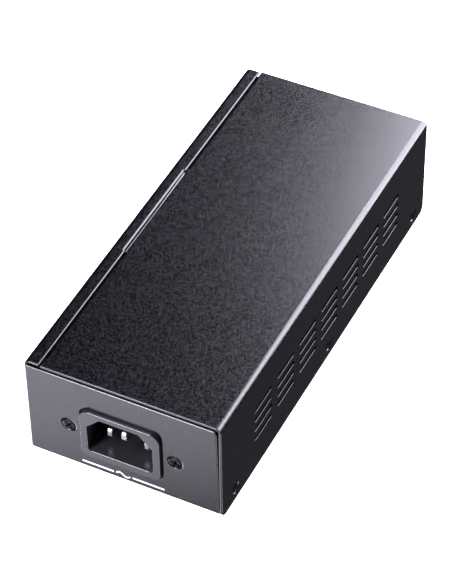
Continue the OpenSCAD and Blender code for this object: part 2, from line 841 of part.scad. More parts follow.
// An electrolytic can in its sleeve, with the crimp groove near the board
module can(spot, r, h) {
    in_case() translate([spot.x, spot.y, top]) {
        rod_z(0, h, r - 0.5);
        rod_z(0, 1.4, r);
        rod_z(2.4, h - 0.4, r);
    }
}

module bulk_capacitor() { color([0.12, 0.14, 0.2]) can(bulk_cap_at, bulk_cap_r, bulk_cap_h); }

// A finned plate that stands on the board; its fins point to the given side
module heatsink(place, side) {
    span = place[2] - place[1];
    fins = floor(span / fin_pitch);
    in_case() translate([place[0], 0, top]) {
        block([0, place[1], 0], [heatsink_t, place[2], place[3]]);
        for (i = [0 : fins])
            translate([side > 0 ? heatsink_t : -fin_reach, place[1] + i * (span - fin_t) / fins, 0])
                cube([fin_reach, fin_t, place[3]]);
    }
}

module primary_heatsink() {
    color([0.6, 0.6, 0.62]) difference() {
        heatsink(primary_sink, 1);
        in_case() translate([primary_sink[0], transistor_y, tab_hole_z])
            rod_x(-past, heatsink_t, sink_screw_r + 0.05);
    }
}

module secondary_heatsink() {
    color([0.6, 0.6, 0.62]) difference() {
        heatsink(secondary_sink, -1);
        in_case() translate([secondary_sink[0], rectifier_y, tab_hole_z])
            rod_x(0.5, heatsink_t + past, sink_screw_r + 0.05);
    }
}

// A three-legged power package whose metal plate lies against x = 0
module power_package() {
    half = package_size.y / 2;
    difference() {
        union() {
            block([0, -half, package_z], [package_size.x, half, tab_z]);
            block([0, -half, package_z], [tab_plate_t, half, tab_z + tab_rise]);
            for (y = [-1, 0, 1] * leg_pitch) block([2.2, y - 0.4, top], [2.8, y + 0.4, package_z]);
        }
        translate([0, 0, tab_hole_z]) rod_x(-past, tab_plate_t + past, tab_hole_r);
    }
}

module switch_transistor() {
    color([0.1, 0.1, 0.1]) in_case()
        translate([primary_sink[0], transistor_y, 0]) mirror([1, 0, 0]) power_package();
}

module output_rectifier() {
    color([0.1, 0.1, 0.1]) in_case()
        translate([secondary_sink[0] + heatsink_t, rectifier_y, 0]) power_package();
}

module heatsink_screws() {
    color("silver") in_case() {
        translate([primary_sink[0] - tab_plate_t, transistor_y, tab_hole_z])
            rotate([0, -90, 0]) pan_screw(sink_screw_r, sink_screw_len);
        translate([secondary_sink[0] + heatsink_t + tab_plate_t, rectifier_y, tab_hole_z])
            rotate([0, 90, 0]) pan_screw(sink_screw_r, sink_screw_len);
    }
}

module at_transformer() { in_case() translate([core_at.x, core_at.y, core_z]) children(); }

// Two E-shaped ferrites, closed into one core with two windows
module transformer_core() {
    color([0.22, 0.22, 0.24]) at_transformer() difference() {
        translate([-core_size.x / 2, -core_size.y / 2, 0]) cube(core_size);
        for (side = [-1, 1]) translate([side * (core_leg + core_window) / 2, 0, core_size.z / 2])
            cube([core_window, core_size.y + past, core_size.z - 2 * core_yoke], center = true);
    }
}

module transformer_bobbin() {
    low = core_yoke;
    high = core_size.z - core_yoke;
    half_d = bobbin_d / 2;
    tube = [core_leg, core_size.y] / 2 + [1, 1];
    color("khaki") at_transformer() difference() {
        union() {
            for (z = [low, high - bobbin_t])
                block([-bobbin_half, -half_d, z], [bobbin_half, half_d, z + bobbin_t]);
            block([-tube.x, -tube.y, low], [tube.x, tube.y, high]);
            for (end = [0, 1]) mirror([0, end, 0])
                block([-bobbin_half, half_d - bobbin_foot, -1], [bobbin_half, half_d, low]);
        }
        block([-core_leg, -core_size.y, 0] / 2, [core_leg / 2, core_size.y / 2, core_size.z]);
    }
}

module transformer_winding() {
    low = core_yoke + bobbin_t;
    high = core_size.z - core_yoke - bobbin_t;
    color([0.85, 0.7, 0.1]) at_transformer() translate([0, 0, low]) linear_extrude(high - low)
        difference() {
            round_rect(-winding_half, winding_half, winding_r, winding_r);
            square([core_leg + 2, core_size.y + 2], center = true);
        }
}

module output_capacitors() {
    color([0.12, 0.14, 0.2]) for (spot = output_caps) can(spot, output_cap_r, output_cap_h);
}

module at_output_choke() {
    in_case() translate([output_choke_at.x, output_choke_at.y, output_choke_z]) children();
}

module output_choke_core() { color([0.75, 0.7, 0.3]) at_output_choke() ring(output_choke_ring); }

module output_choke_winding() {
    step = 360 / output_choke_turns;
    color("peru") at_output_choke() for (i = [0 : output_choke_turns - 1])
        turn((i + 0.5) * step, output_choke_ring, output_choke_wire);
}

// A package on the board with a row of legs on two sides
module chip(data) {
    spot = data[0];
    size = data[1];
    legs = data[2];
    in_case() {
        board_box(spot, size - [0, 0, chip_lift], chip_lift);
        for (side = [-0.5, 0.5], i = [0 : legs - 1])
            board_box(spot + [side * size.x, (i - (legs - 1) / 2) * data[3]], chip_leg);
    }
}

module optocoupler() { color([0.9, 0.9, 0.88]) chip(optocoupler_chip); }

module pwm_controller() { color([0.1, 0.1, 0.1]) chip(pwm_chip); }

module pse_controller() { color([0.1, 0.1, 0.1]) chip(pse_chip); }

module lan_magnetics() { color([0.1, 0.1, 0.1]) chip(magnetics_chip); }

chassis();
cover();
cover_screws();
rubber_feet();
inlet_housing();
inlet_screws();
inlet_nuts();
live_blade();
neutral_blade();
earth_blade();
live_lead();
neutral_lead();
earth_lead();
earth_stud();
earth_nut();
insulation_sheet();
pcb_standoffs();
main_pcb();
pcb_screws();
lan_jack_shield();
lan_jack_insert();
lan_jack_contacts();
poe_jack_shield();
poe_jack_insert();
poe_jack_contacts();
led_holders();
power_led();
poe_led();
ac_connector();
fuse();
fuse_clips();
varistor();
inrush_thermistor();
x_capacitor();
y_capacitors();
choke_base();
choke_core();
choke_windings();
bridge_rectifier();
bulk_capacitor();
primary_heatsink();
switch_transistor();
transformer_core();
transformer_bobbin();
transformer_winding();
secondary_heatsink();
output_rectifier();
heatsink_screws();
output_capacitors();
output_choke_core();
output_choke_winding();
optocoupler();
pwm_controller();
pse_controller();
lan_magnetics();
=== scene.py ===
import json
import math
import random

import bmesh
import bpy
from mathutils import Matrix, Vector


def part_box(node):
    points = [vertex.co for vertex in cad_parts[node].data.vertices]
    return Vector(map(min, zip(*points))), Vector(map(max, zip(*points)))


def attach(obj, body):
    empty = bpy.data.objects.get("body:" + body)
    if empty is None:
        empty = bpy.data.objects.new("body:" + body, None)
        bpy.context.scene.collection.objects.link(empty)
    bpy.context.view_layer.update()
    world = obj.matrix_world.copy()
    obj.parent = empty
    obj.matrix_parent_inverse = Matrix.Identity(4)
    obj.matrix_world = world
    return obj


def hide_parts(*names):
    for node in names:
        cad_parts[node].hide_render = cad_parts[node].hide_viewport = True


# A mains-powered network power injector. Metres, +Z up, mains inlet towards -Y.
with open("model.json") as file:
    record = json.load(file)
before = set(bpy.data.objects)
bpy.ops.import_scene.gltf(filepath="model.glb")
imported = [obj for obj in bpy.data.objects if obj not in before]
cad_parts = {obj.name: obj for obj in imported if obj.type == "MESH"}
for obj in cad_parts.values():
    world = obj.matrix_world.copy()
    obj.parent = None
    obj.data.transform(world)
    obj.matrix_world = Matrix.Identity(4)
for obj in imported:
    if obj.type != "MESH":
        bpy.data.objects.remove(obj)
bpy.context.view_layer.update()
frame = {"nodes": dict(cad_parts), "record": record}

MM = 0.001
NODES = frame["nodes"]
RECORD = frame["record"]
BODY_OF = {node: body for body, nodes in RECORD["behaviour"]["bodies"].items() for node in nodes}
SLOT_OF = {part["node"]: part["material_slot"] for part in RECORD["subparts"]}
WELD = 0.002 * MM
scene = bpy.context.scene


# ---- node materials -----------------------------------------------------

# Nearly all of a noise's values lie between these two.
NOISE_LOW, NOISE_HIGH = 0.3, 0.7


class NodeMaterial:
    """A Principled material whose colour, roughness and relief come from patterns in object space."""

    def __init__(self, name, **sockets):
        self.material = bpy.data.materials.new(name)
        self.material.use_nodes = True
        self.nodes = self.material.node_tree.nodes
        self.links = self.material.node_tree.links
        self.shader = self.nodes["Principled BSDF"]
        self.place = self.nodes.new("ShaderNodeTexCoord").outputs["Object"]
        for socket, value in sockets.items():
            self.shader.inputs[socket.replace("_", " ")].default_value = value

    def node(self, kind, values=None, **settings):
        """A shader node with values on its inputs and settings on itself."""
        made = self.nodes.new("ShaderNode" + kind)
        for key, value in settings.items():
            setattr(made, key, value)
        for socket, value in (values or {}).items():
            made.inputs[socket].default_value = value
        return made

    def link(self, source, target):
        self.links.new(source, target)

    def stretched(self, scale):
        mapping = self.node("Mapping", {"Scale": scale})
        self.link(self.place, mapping.inputs["Vector"])
        return mapping.outputs["Vector"]

    def noise(self, size, detail=2.0, roughness=0.5, stretch=None):
        """Noise whose lumps are about this size, in metres."""
        made = self.node("TexNoise", {"Scale": 1 / size, "Detail": detail, "Roughness": roughness})
        self.link(self.stretched(stretch) if stretch else self.place, made.inputs["Vector"])
        return made.outputs["Fac"]

    def grains(self, size):
        """Close-packed grains of about this size: each one's tone, and the way to its middle."""
        made = self.node("TexVoronoi", {"Scale": 1 / size}, feature="F1")
        self.link(self.place, made.inputs["Vector"])
        return made.outputs["Color"], made.outputs["Distance"]

    def paint(self, source, stops):
        """The base colour, from (position, colour) stops along a pattern."""
        made = self.node("ValToRGB")
        ends = made.color_ramp.elements
        while len(ends) < len(stops):
            ends.new(0.5)
        for end, (position, color) in zip(ends, stops):
            end.position = position
            end.color = (*color, 1)
        self.link(source, made.inputs["Fac"])
        self.link(made.outputs["Color"], self.shader.inputs["Base Color"])

    def color(self, source, dark, light):
        """The base colour, from dark to light over a noise's middle range."""
        self.paint(source, [(NOISE_LOW, dark), (NOISE_HIGH, light)])

    def roughness(self, source, low, high):
        """The roughness, from low to high over a noise's middle range."""
        made = self.node("MapRange", {"From Min": NOISE_LOW, "From Max": NOISE_HIGH,
                                      "To Min": low, "To Max": high})
        self.link(source, made.inputs["Value"])
        self.link(made.outputs["Result"], self.shader.inputs["Roughness"])

    def relief(self, source, height, strength):
        """Bumps up to a height, in metres."""
        made = self.node("Bump", {"Strength": strength, "Distance": height})
        self.link(source, made.inputs["Height"])
        self.link(made.outputs["Normal"], self.shader.inputs["Normal"])


def shade(color, factor):
    """A colour made darker or lighter."""
    return tuple(min(1.0, c * factor) for c in color)


def powder_coat(name):
    """Black powder coat: each grain has its own tone and gloss, in a faint close relief."""
    dark, light = (0.0002, 0.0002, 0.0008), (0.0058, 0.0058, 0.0078)
    coat = NodeMaterial(name, Specular_IOR_Level=0.5)
    tones, bumps = coat.grains(0.45 * MM)
    coat.paint(tones, [(0.35, dark), (0.9, light)])
    coat.roughness(tones, 0.173, 0.268)
    coat.relief(bumps, 0.012 * MM, 0.45)
    return coat.material


def moulded(name, color, lump=0.5 * MM, height=0.02 * MM, gloss=(0.36, 0.5)):
    """Moulded plastic with a spark-eroded grain."""
    plastic = NodeMaterial(name, Specular_IOR_Level=0.5)
    grain = plastic.noise(lump)
    flow = plastic.noise(14 * MM)
    plastic.color(flow, shade(color, 0.86), shade(color, 1.12))
    plastic.roughness(grain, *gloss)
    plastic.relief(grain, height, 0.5)
    return plastic.material


def glossy(name, color, gloss=(0.12, 0.26), ripple=0.03 * MM):
    """Dipped, shrunk or extruded plastic: smooth, with shallow ripples."""
    plastic = NodeMaterial(name, Specular_IOR_Level=0.5, Coat_Weight=0.25, Coat_Roughness=0.15)
    flow = plastic.noise(5 * MM)
    fine = plastic.noise(0.8 * MM)
    plastic.color(flow, shade(color, 0.84), shade(color, 1.14))
    plastic.roughness(fine, *gloss)
    plastic.relief(flow, ripple, 0.6)
    return plastic.material


def plated(name, color, gloss=(0.18, 0.34), drawn=None):
    """Plated or bare metal, with drawing marks along an axis where it has them."""
    metal = NodeMaterial(name, Metallic=1.0)
    marks = metal.noise(0.5 * MM, 4.0, 0.6, drawn)
    stain = metal.noise(7 * MM, 3.0)
    metal.color(stain, shade(color, 0.84), shade(color, 1.08))
    metal.roughness(marks, *gloss)
    metal.relief(marks, 0.008 * MM, 0.3)
    return metal.material


def sintered(name, color):
    """Ferrite or painted powder: matt, with pores."""
    stone = NodeMaterial(name, Specular_IOR_Level=0.4)
    pores = stone.noise(0.35 * MM, 4.0, 0.7)
    cloud = stone.noise(4 * MM)
    stone.color(cloud, shade(color, 0.8), shade(color, 1.2))
    stone.roughness(pores, 0.45, 0.65)
    stone.relief(pores, 0.04 * MM, 0.7)
    return stone.material


def solder_mask(name):
    """Green mask over copper: square-edged areas stand for the tracks and planes."""
    board = NodeMaterial(name, Specular_IOR_Level=0.5, Coat_Weight=0.5, Coat_Roughness=0.1)
    gap, track, plane = (0.012, 0.12, 0.045), (0.022, 0.20, 0.075), (0.026, 0.22, 0.085)
    cells = board.node("TexVoronoi", {"Scale": 1 / (5.5 * MM), "Randomness": 0.85},
                       distance="CHEBYCHEV", feature="F1", voronoi_dimensions="2D")
    board.link(board.place, cells.inputs["Vector"])
    edge = board.node("Math", {1: 0.22, 2: 0.0}, operation="WRAP")
    board.link(cells.outputs["Distance"], edge.inputs[0])
    board.paint(edge.outputs["Value"], [(0.0, gap), (0.05, gap), (0.06, track), (1.0, plane)])
    board.roughness(board.noise(3 * MM), 0.2, 0.34)
    board.relief(edge.outputs["Value"], 0.02 * MM, 0.25)
    return board.material


def striped(name, color, stripe):
    """Earth wire: a base colour with a second colour along it."""
    wire = NodeMaterial(name, Specular_IOR_Level=0.5)
    bands = wire.node("TexWave", {"Scale": 1 / (9 * MM), "Distortion": 0.4},
                      wave_type="BANDS", bands_direction="DIAGONAL")
    wire.link(wire.place, bands.inputs["Vector"])
    wire.paint(bands.outputs["Fac"], [(0.0, color), (0.52, color), (0.58, stripe), (1.0, stripe)])
    wire.roughness(wire.noise(1 * MM), 0.28, 0.42)
    wire.relief(wire.noise(2 * MM), 0.02 * MM, 0.4)
    return wire.material


def film(name, color):
    """Translucent insulation film."""
    sheet = NodeMaterial(name, Specular_IOR_Level=0.5, Transmission_Weight=0.25)
    cloud = sheet.noise(20 * MM)
    sheet.color(cloud, shade(color, 0.9), color)
    sheet.roughness(sheet.noise(1.5 * MM), 0.25, 0.4)
    sheet.relief(cloud, 0.05 * MM, 0.3)
    return sheet.material


def lens(name, color):
    """The diffusing body of an unlit indicator light."""
    body = NodeMaterial(name, Specular_IOR_Level=0.5, Subsurface_Weight=0.3, Subsurface_Scale=0.001)
    cloud = body.noise(1.2 * MM)
    body.color(cloud, shade(color, 0.85), shade(color, 1.1))
    body.roughness(cloud, 0.12, 0.22)
    body.relief(cloud, 0.01 * MM, 0.3)
    return body.material


def printed(name, color):
    """Screen-printed ink with a slightly uneven film."""
    ink = NodeMaterial(name, Specular_IOR_Level=0.4)
    speckle = ink.noise(0.25 * MM, 3.0, 0.7)
    ink.color(speckle, shade(color, 0.88), color)
    ink.roughness(speckle, 0.4, 0.6)
    ink.relief(speckle, 0.008 * MM, 0.4)
    return ink.material


MATERIALS = {
    "powder_coat": powder_coat("powder_coat"),
    "black_screw": plated("black_screw", (0.016, 0.016, 0.018), (0.2, 0.3)),
    "rubber": moulded("rubber", (0.016, 0.016, 0.017), 0.7 * MM, 0.04 * MM, (0.6, 0.78)),
    "inlet_plastic": moulded("inlet_plastic", (0.020, 0.020, 0.022), 0.6 * MM, 0.008 * MM,
                             (0.23, 0.28)),
    "blade_metal": plated("blade_metal", (0.30, 0.30, 0.30), (0.34, 0.46), (1, 0.1, 1)),
    "steel_fastener": plated("steel_fastener", (0.62, 0.63, 0.62), (0.24, 0.4)),
    "brass_nut": plated("brass_nut", (0.80, 0.58, 0.25), (0.2, 0.34)),
    "live_insulation": glossy("live_insulation", (0.10, 0.035, 0.014), (0.26, 0.4)),
    "neutral_insulation": glossy("neutral_insulation", (0.018, 0.07, 0.30), (0.26, 0.4)),
    "earth_insulation": striped("earth_insulation", (0.08, 0.26, 0.03), (0.75, 0.62, 0.03)),
    "insulation_film": film("insulation_film", (0.78, 0.76, 0.66)),
    "board": solder_mask("board"),
    "jack_shield": plated("jack_shield", (0.74, 0.74, 0.72), (0.26, 0.34), (1, 0.15, 1)),
    "jack_plastic": moulded("jack_plastic", (0.014, 0.014, 0.015), 0.5 * MM, 0.02 * MM, (0.34, 0.48)),
    "contact_gold": plated("contact_gold", (0.95, 0.70, 0.28), (0.14, 0.24)),
    "led_green": lens("led_green", (0.06, 0.50, 0.10)),
    "led_amber": lens("led_amber", (0.85, 0.32, 0.03)),
    "white_plastic": moulded("white_plastic", (0.78, 0.77, 0.72)),
    "ceramic": glossy("ceramic", (0.78, 0.75, 0.66), (0.16, 0.26)),
    "blue_coating": glossy("blue_coating", (0.02, 0.08, 0.34)),
    "green_coating": glossy("green_coating", (0.02, 0.075, 0.03), (0.3, 0.45)),
    "yellow_box": glossy("yellow_box", (0.72, 0.48, 0.03), (0.22, 0.36)),
    "ferrite": sintered("ferrite", (0.035, 0.035, 0.038)),
    "iron_powder": sintered("iron_powder", (0.62, 0.55, 0.12)),
    "enamelled_wire": glossy("enamelled_wire", (0.42, 0.13, 0.035), (0.16, 0.26), 0.01 * MM),
    "package_black": moulded("package_black", (0.02, 0.02, 0.021), 0.35 * MM, 0.02 * MM,
                             (0.42, 0.56)),
    "cap_sleeve": glossy("cap_sleeve", (0.008, 0.012, 0.035), (0.2, 0.32)),
    "heatsink": plated("heatsink", (0.70, 0.71, 0.72), (0.3, 0.46), (1, 1, 0.1)),
    "bobbin_plastic": moulded("bobbin_plastic", (0.30, 0.22, 0.10)),
    "winding_tape": glossy("winding_tape", (0.76, 0.52, 0.05), (0.22, 0.34), 0.08 * MM),
    "opto_white": moulded("opto_white", (0.76, 0.76, 0.72)),
}
WHITE_INK = printed("white_ink", (0.82, 0.82, 0.80))
BRIGHT_CAN = plated("bright_can", (0.80, 0.80, 0.80), (0.26, 0.4))


# ---- mesh tools ---------------------------------------------------------

def turns(count):
    """Evenly spaced angles round a circle."""
    return [2 * math.pi * i / count for i in range(count)]


def smooth(mesh, angle=32):
    """Smooth shading, but for edges sharper than an angle in degrees."""
    mesh.polygons.foreach_set("use_smooth", [True] * len(mesh.polygons))
    mesh.set_sharp_from_angle(angle=math.radians(angle))


def mesh_from(name, build, angle=32):
    """A mesh that a function draws in a bmesh."""
    work = bmesh.new()
    build(work)
    bmesh.ops.recalc_face_normals(work, faces=work.faces)
    mesh = bpy.data.meshes.new(name)
    work.to_mesh(mesh)
    work.free()
    smooth(mesh, angle)
    return mesh


def aim(point, direction):
    """A place whose Z axis points along a direction."""
    turn = Vector(direction).to_track_quat("Z", "Y").to_matrix().to_4x4()
    return Matrix.Translation(point) @ turn


def skin(work, rings, closed=False):
    """Faces between rings of vertices; a ring of one vertex is a tip."""
    pairs = list(zip(rings, rings[1:])) + ([(rings[-1], rings[0])] if closed else [])
    for low, high in pairs:
        count = max(len(low), len(high))
        for i in range(count):
            j = (i + 1) % count
            corners = (low[i % len(low)], low[j % len(low)], high[j % len(high)], high[i % len(high)])
            face = list(dict.fromkeys(corners))
            if len(face) > 2:
                work.faces.new(face)


def ring_of(work, place, radius, height, steps):
    """A ring of vertices about a place's Z axis, or one vertex where the radius is nothing."""
    spots = turns(steps) if radius > 0 else [0.0]
    return [work.verts.new(place @ Vector((radius * math.cos(a), radius * math.sin(a), height)))
            for a in spots]


def lathe(work, profile, place, steps=40, closed=False):
    """Turns (radius, height) points, in mm, about a place's Z axis."""
    skin(work, [ring_of(work, place, r * MM, z * MM, steps) for r, z in profile], closed)


def tube(work, points, radius):
    """A round wire along points, with flat ends."""
    sides = 8
    rings = []
    across = None
    for i, point in enumerate(points):
        ahead = (points[min(i + 1, len(points) - 1)] - points[max(i - 1, 0)]).normalized()
        across = ahead.orthogonal() if across is None else across - across.dot(ahead) * ahead
        across.normalize()
        over = ahead.cross(across)
        rings.append([work.verts.new(point + radius * (math.cos(a) * across + math.sin(a) * over))
                      for a in turns(sides)])
    skin(work, rings)
    for end in (rings[0], rings[-1]):
        work.faces.new(end)


def soft_block(work, low, high, edge):
    """A box with rounded edges between two corners."""
    low, high = Vector(low), Vector(high)
    place = Matrix.Translation((low + high) / 2) @ Matrix.Diagonal((*(high - low), 1))
    cube = bmesh.ops.create_cube(work, size=1, matrix=place)["verts"]
    edges = list({e for v in cube for e in v.link_edges})
    bmesh.ops.bevel(work, geom=edges, offset=edge, segments=2, affect="EDGES", profile=0.5)


def slab(work, outline, place, low, high):
    """A flat outline, in mm, drawn up from one height to another."""
    rings = [[work.verts.new(place @ Vector((x * MM, y * MM, z))) for x, y in outline]
             for z in (low, high)]
    skin(work, rings)
    for ring in rings:
        work.faces.new(ring)


def baked(mesh, *modifiers):
    """The mesh with modifiers applied; each is (kind, settings)."""
    temp = bpy.data.objects.new("temp", mesh)
    scene.collection.objects.link(temp)
    for kind, settings in modifiers:
        modifier = temp.modifiers.new(kind, kind)
        for key, value in settings.items():
            setattr(modifier, key, value)
    bpy.context.view_layer.update()
    shown = temp.evaluated_get(bpy.context.evaluated_depsgraph_get())
    made = bpy.data.meshes.new_from_object(shown)
    made.name = mesh.name
    made.materials.clear()
    bpy.data.objects.remove(temp)
    return made


def cut(mesh, tool_mesh):
    """The mesh less a tool."""
    tool = bpy.data.objects.new("tool", tool_mesh)
    scene.collection.objects.link(tool)
    made = baked(mesh, ("BOOLEAN", {"object": tool, "operation": "DIFFERENCE", "solver": "EXACT"}))
    bpy.data.objects.remove(tool)
    smooth(made)
    return made


def welded(node):
    """A CAD node's mesh, with its faces joined at their edges."""
    work = bmesh.new()
    work.from_mesh(NODES[node].data)
    bmesh.ops.remove_doubles(work, verts=work.verts, dist=WELD)
    return work


def solids(node):
    """The box of each separate solid in a CAD node, sorted by place."""
    work = welded(node)
    left = set(work.verts)
    boxes = []
    while left:
        front = [left.pop()]
        found = []
        while front:
            vert = front.pop()
            found.append(vert.co.copy())
            for edge in vert.link_edges:
                other = edge.other_vert(vert)
                if other in left:
                    left.remove(other)
                    front.append(other)
        boxes.append((Vector(map(min, zip(*found))), Vector(map(max, zip(*found)))))
    work.free()
    return sorted(boxes, key=lambda box: tuple(round(c, 5) for c in box[0]))


def piece(name, mesh, node, replaces=False, slot=None, finish=None):
    """Puts a mesh on a CAD node's body, with that node's finish or another, and maybe in its place."""
    made = bpy.data.objects.new(name, mesh)
    scene.collection.objects.link(made)
    slot = slot or SLOT_OF[node]
    if not mesh.materials:
        mesh.materials.append(finish or MATERIALS[slot])
    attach(made, BODY_OF[node])
    if replaces:
        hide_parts(node)


# ---- CAD pieces with rounded edges --------------------------------------

SHARP = math.radians(40)


def flat_faced(node):
    """A CAD node's mesh, with each flat side as one face."""
    work = welded(node)
    bmesh.ops.dissolve_limit(work, angle_limit=math.radians(1), verts=work.verts, edges=work.edges)
    return work


def rounded(node, work, **bevel):
    """Ends a bmesh: a mesh for the node, with its edges bevelled as the settings say."""
    mesh = bpy.data.meshes.new(node + "_finished")
    work.to_mesh(mesh)
    work.free()
    smooth(mesh)
    return baked(mesh, ("BEVEL", bevel), ("WEIGHTED_NORMAL", {"keep_sharp": True}))


def solid_edges(node, width, metal=None):
    """A copy of a CAD node with its cut edges rounded, in the node's place.

    Where metal is given, it picks the faces that are bare metal from their middle points.
    """
    made = rounded(node, flat_faced(node), width=width, segments=2, limit_method="ANGLE",
                   angle_limit=SHARP)
    if metal:
        made.materials.append(MATERIALS[SLOT_OF[node]])
        made.materials.append(MATERIALS["steel_fastener"])
        for face in made.polygons:
            face.material_index = int(metal(face.center))
    piece(node + "_finished", made, node, replaces=True)


# The vent slots lie between these heights in a side wall, and less than this far from its middle.
VENTS_LOW, VENTS_HIGH, VENTS_REACH = 12 * MM, 34 * MM, 78 * MM
WALL_DEPTH = 2 * MM


def sheet_edges(node, width, fine_width):
    """A copy of a sheet with its outward edges rounded, and the edges of its slots less so."""
    work = flat_faced(node)
    share = work.edges.layers.float.new("bevel_weight_edge")
    low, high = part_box(node)
    for edge in work.edges:
        if edge.is_manifold and edge.calc_face_angle_signed() > SHARP:
            middle = (edge.verts[0].co + edge.verts[1].co) / 2
            in_wall = min(middle.x - low.x, high.x - middle.x) < WALL_DEPTH
            slot = in_wall and VENTS_LOW < middle.z < VENTS_HIGH and abs(middle.y) < VENTS_REACH
            edge[share] = fine_width / width if slot else 1
    made = rounded(node, work, width=width, segments=3, limit_method="WEIGHT", use_clamp_overlap=False)
    piece(node + "_finished", made, node, replaces=True)


def legs_below(node, height):
    """Picks the faces of a part's wire legs: those under a height above the board, in mm."""
    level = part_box(node)[0].z + height * MM
    return lambda centre: centre.z < level


def chip_legs(node):
    """Picks the legs at a chip's two sides, which stand out of its body and under it."""
    low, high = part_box(node)
    middle = (low.x + high.x) / 2
    reach = (high.x - low.x) / 2 - 0.49 * MM
    return lambda centre: abs(centre.x - middle) > reach or centre.z < low.z + 0.55 * MM


def package_metal(node):
    """Picks the tab above a power package's moulding and the legs below it."""
    low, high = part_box(node)
    return lambda centre: centre.z > high.z - 6.4 * MM or centre.z < low.z + 4.95 * MM


def ring_terminal(centre):
    """Picks the crimp and ring at the earth lead's lower end."""
    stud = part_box("earth_stud")
    return centre.z < stud[0].z + 4.4 * MM and centre.y < stud[1].y + 7 * MM


# How wide the rounding of each piece's edges is, in mm.
EDGE_WIDTHS = {
    "inlet_housing": 0.5, "rubber_feet": 0.5,
    "live_blade": 0.3, "neutral_blade": 0.3, "earth_blade": 0.3,
    "live_lead": 0.4, "neutral_lead": 0.4, "pcb_standoffs": 0.15,
    "inlet_nuts": 0.15, "earth_nut": 0.15, "earth_stud": 0.2, "main_pcb": 0.1,
    "lan_jack_shield": 0.12, "poe_jack_shield": 0.12,
    "lan_jack_insert": 0.15, "poe_jack_insert": 0.15,
    "led_holders": 0.25, "ac_connector": 0.35, "x_capacitor": 0.6,
    "primary_heatsink": 0.15, "secondary_heatsink": 0.15, "transformer_core": 0.3,
    "transformer_bobbin": 0.2, "transformer_winding": 0.4, "choke_base": 0.2, "choke_core": 0.5,
    "output_choke_core": 0.5, "fuse_clips": 0.12,
}
for cad_node, edge_mm in EDGE_WIDTHS.items():
    solid_edges(cad_node, edge_mm * MM)
sheet_edges("chassis", 0.42 * MM, 0.12 * MM)
sheet_edges("cover", 0.2 * MM, 0.12 * MM)
for cad_node, edge_mm, leg_mm in (("varistor", 0.9, 1.3), ("inrush_thermistor", 0.8, 1.3),
                                  ("y_capacitors", 0.7, 1.3), ("bridge_rectifier", 0.35, 2.9)):
    solid_edges(cad_node, edge_mm * MM, metal=legs_below(cad_node, leg_mm))
for cad_node, edge_mm in (("optocoupler", 0.12), ("pwm_controller", 0.12), ("pse_controller", 0.08),
                          ("lan_magnetics", 0.2)):
    solid_edges(cad_node, edge_mm * MM, metal=chip_legs(cad_node))
for cad_node in ("switch_transistor", "output_rectifier"):
    solid_edges(cad_node, 0.15 * MM, metal=package_metal(cad_node))
solid_edges("earth_lead", 0.3 * MM, metal=ring_terminal)


# ---- screws -------------------------------------------------------------

def thread(work, place, radius, low, high, pitch):
    """A threaded shank between two heights, in mm, with a pointed lower end."""
    steps = 20
    rows_per_turn = 6
    depth = 0.3 * pitch
    rows = round(rows_per_turn * (high - low) / pitch)
    rings = [ring_of(work, place, 0, (low - 0.3 * radius) * MM, steps)]
    for row in range(rows + 1):
        z = low + (high - low) * row / rows
        ring = []
        for angle in turns(steps):
            phase = (z / pitch - angle / (2 * math.pi)) % 1
            r = radius - depth * abs(2 * phase - 1)
            spot = MM * Vector((r * math.cos(angle), r * math.sin(angle), z))
            ring.append(work.verts.new(place @ spot))
        rings.append(ring)
    rings.append(ring_of(work, place, 0, high * MM, steps))
    skin(work, rings)


def cross(reach, half):
    """The outline of a cross with arms of a given reach and half width."""
    arm = [(reach, -half), (reach, half), (half, half)]
    quarters = ((1, 0), (0, 1), (-1, 0), (0, -1))
    return [(x * c - y * s, x * s + y * c) for c, s in quarters for x, y in arm]


def cross_recess(work, place, reach, top, depth):
    """The tapered cross that a driver's tip fits, down from a height, in mm."""
    levels = ((1.15 * reach, 0.2 * reach, top + 0.2), (reach, 0.17 * reach, top),
              (0.4 * reach, 0.1 * reach, top - depth))
    rings = [[work.verts.new(place @ (MM * Vector((x, y, z)))) for x, y in cross(r, half)]
             for r, half, z in levels]
    skin(work, rings)
    for ring in (rings[0], rings[-1]):
        work.faces.new(ring)


def sunk_head(r):
    """How deep a countersunk head's face lies below the sheet, and its profile with a rolled rim."""
    sink = 0.06
    return sink, [(0, -sink), (r - 0.85, -sink), (r - 0.55, -sink - 0.07), (r - 0.36, -sink - 0.2),
                  (r - 0.3, -sink - 0.34), (r - 0.45, -0.55), (1.3, 1.28 - r), (0, 1.2 - r)]


def pan_head(r):
    """The same for a pan head, which stands on the surface."""
    height = 1.8
    return -height, [(0, height), (0.45 * r, 0.98 * height), (0.75 * r, 0.86 * height),
                     (0.93 * r, 0.6 * height), (r, 0.3 * height), (r, 0.05), (r - 0.1, 0),
                     (1.2, 0), (0, -0.1)]


